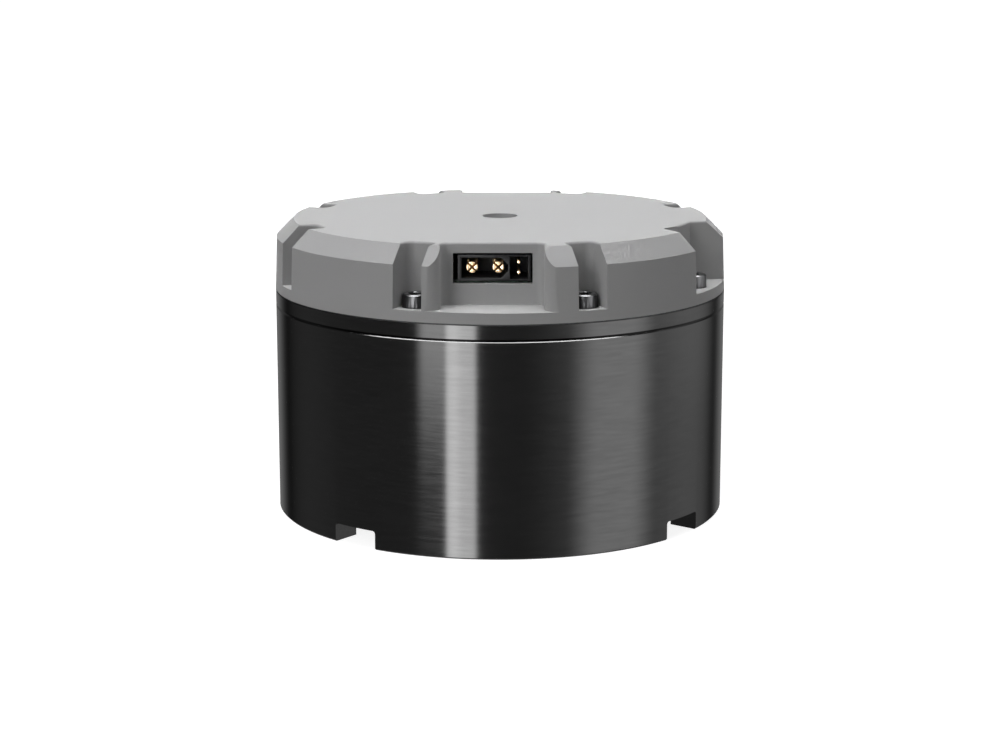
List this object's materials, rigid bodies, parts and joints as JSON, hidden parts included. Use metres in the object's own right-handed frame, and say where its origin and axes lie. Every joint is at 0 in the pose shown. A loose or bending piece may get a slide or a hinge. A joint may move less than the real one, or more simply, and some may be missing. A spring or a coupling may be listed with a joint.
{
  "type": "robot joint actuator",
  "caption": "Short round joint actuator with a hollow shaft: motor and planetary gearbox in a notched tube, with a grey rear cover, screw wells and keyed connectors.",
  "frame": {"origin": "centre of the mounting rim's lower face", "axes": "+Z along the shaft from the mounting rim to the rear cover, -Y towards the front connector"},
  "size_m": [0.092, 0.092, 0.0598],
  "materials": {
    "black_anodised": "hard anodised black, fine turned lines, satin",
    "silver_anodised": "bead-blasted and anodised silver grey, matt",
    "bare_aluminium": "turned, clear",
    "dark_steel": "black oxide",
    "bright_steel": "zinc plated",
    "bearing_steel": "ground and polished",
    "gear_steel": "hobbed or milled, oiled",
    "spring_steel": "blued",
    "electrical_steel": "laminated, lacquered",
    "copper_enamel": "enamelled copper wire",
    "magnet_nickel": "nickel plated",
    "magnet_ring": "bonded magnet, matt",
    "bronze": "sintered bronze",
    "brass": "turned brass",
    "gold_plate": "gold plated",
    "rubber": "matt",
    "board_green": "solder mask",
    "package_black": "moulded",
    "capacitor_can": "drawn can",
    "connector_plastic": "glass-filled, matt"
  },
  "bodies": {
    "housing": {"main_housing": "black_anodised", "gearbox_housing": "black_anodised", "motor_end_plate": "black_anodised", "rear_cover": "silver_anodised", "cover_gasket": "rubber", "cover_screws": "dark_steel", "gearbox_screws": "dark_steel", "cap_screws": "dark_steel", "board_screws": "bright_steel", "output_bearing_outer": "bearing_steel", "bearing_retainer": "black_anodised", "output_seal": "rubber", "ring_gear": "gear_steel", "gearbox_cap": "bare_aluminium", "stator_core": "electrical_steel", "stator_windings": "copper_enamel", "phase_leads": "copper_enamel", "rotor_bearing_outers": "bearing_steel", "driver_board": "board_green", "board_standoffs": "brass", "power_transistors": "package_black", "bus_capacitors": "capacitor_can", "controller_chip": "package_black", "encoder_chips": "package_black", "connector_front": "connector_plastic", "connector_back": "connector_plastic", "connector_pins_front": "gold_plate", "connector_pins_back": "gold_plate"},
    "output": {"output_carrier": "gear_steel", "output_bearing_inner": "bearing_steel", "output_bearing_rollers": "bearing_steel", "output_snap_ring": "spring_steel", "hollow_shaft": "bare_aluminium", "stage_2_pins": "bearing_steel", "output_encoder_ring": "magnet_ring"},
    "first_carrier": {"carrier_plate": "gear_steel", "sun_gear_2": "gear_steel", "stage_1_pins": "bearing_steel"},
    "rotor": {"rotor_shaft": "gear_steel", "rotor_bell": "electrical_steel", "rotor_magnets": "magnet_nickel", "sun_gear_1": "gear_steel", "rotor_bearing_inners": "bearing_steel", "rotor_encoder_ring": "magnet_ring"},
    "planet_2a_body": {"planet_2a": "gear_steel", "planet_bush_2a": "bronze"},
    "planet_1a_body": {"planet_1a": "gear_steel", "planet_bush_1a": "bronze"},
    "planet_2b_body": {"planet_2b": "gear_steel", "planet_bush_2b": "bronze"},
    "planet_1b_body": {"planet_1b": "gear_steel", "planet_bush_1b": "bronze"},
    "planet_2c_body": {"planet_2c": "gear_steel", "planet_bush_2c": "bronze"},
    "planet_1c_body": {"planet_1c": "gear_steel", "planet_bush_1c": "bronze"}
  },
  "joints": [
    {"name": "output_spin", "type": "hinge", "parent": "housing", "child": "output", "pos_m": [0, 0, 0.011], "axis": [0, 0, 1], "continuous": true},
    {"name": "first_carrier_spin", "type": "hinge", "parent": "housing", "child": "first_carrier", "pos_m": [0, 0, 0.0235], "axis": [0, 0, 1], "continuous": true},
    {"name": "rotor_spin", "type": "hinge", "parent": "housing", "child": "rotor", "pos_m": [0, 0, 0.038], "axis": [0, 0, 1], "continuous": true},
    {"name": "planet_2a_spin", "type": "hinge", "parent": "output", "child": "planet_2a_body", "pos_m": [0, 0.0144, 0.0192], "axis": [0, 0, 1], "continuous": true},
    {"name": "planet_1a_spin", "type": "hinge", "parent": "first_carrier", "child": "planet_1a_body", "pos_m": [0, 0.0144, 0.0274], "axis": [0, 0, 1], "continuous": true},
    {"name": "planet_2b_spin", "type": "hinge", "parent": "output", "child": "planet_2b_body", "pos_m": [-0.01247, -0.0072, 0.0192], "axis": [0, 0, 1], "continuous": true},
    {"name": "planet_1b_spin", "type": "hinge", "parent": "first_carrier", "child": "planet_1b_body", "pos_m": [-0.01247, -0.0072, 0.0274], "axis": [0, 0, 1], "continuous": true},
    {"name": "planet_2c_spin", "type": "hinge", "parent": "output", "child": "planet_2c_body", "pos_m": [0.01247, -0.0072, 0.0192], "axis": [0, 0, 1], "continuous": true},
    {"name": "planet_1c_spin", "type": "hinge", "parent": "first_carrier", "child": "planet_1c_body", "pos_m": [0.01247, -0.0072, 0.0274], "axis": [0, 0, 1], "continuous": true}
  ],
  "couplings": [
    {"joint": "first_carrier_spin", "follows": "output_spin", "ratio": 4},
    {"joint": "rotor_spin", "follows": "output_spin", "ratio": 16},
    {"joint": "planet_2a_spin", "follows": "output_spin", "ratio": -3},
    {"joint": "planet_1a_spin", "follows": "output_spin", "ratio": -12},
    {"joint": "planet_2b_spin", "follows": "output_spin", "ratio": -3},
    {"joint": "planet_1b_spin", "follows": "output_spin", "ratio": -12},
    {"joint": "planet_2c_spin", "follows": "output_spin", "ratio": -3},
    {"joint": "planet_1c_spin", "follows": "output_spin", "ratio": -12}
  ]
}
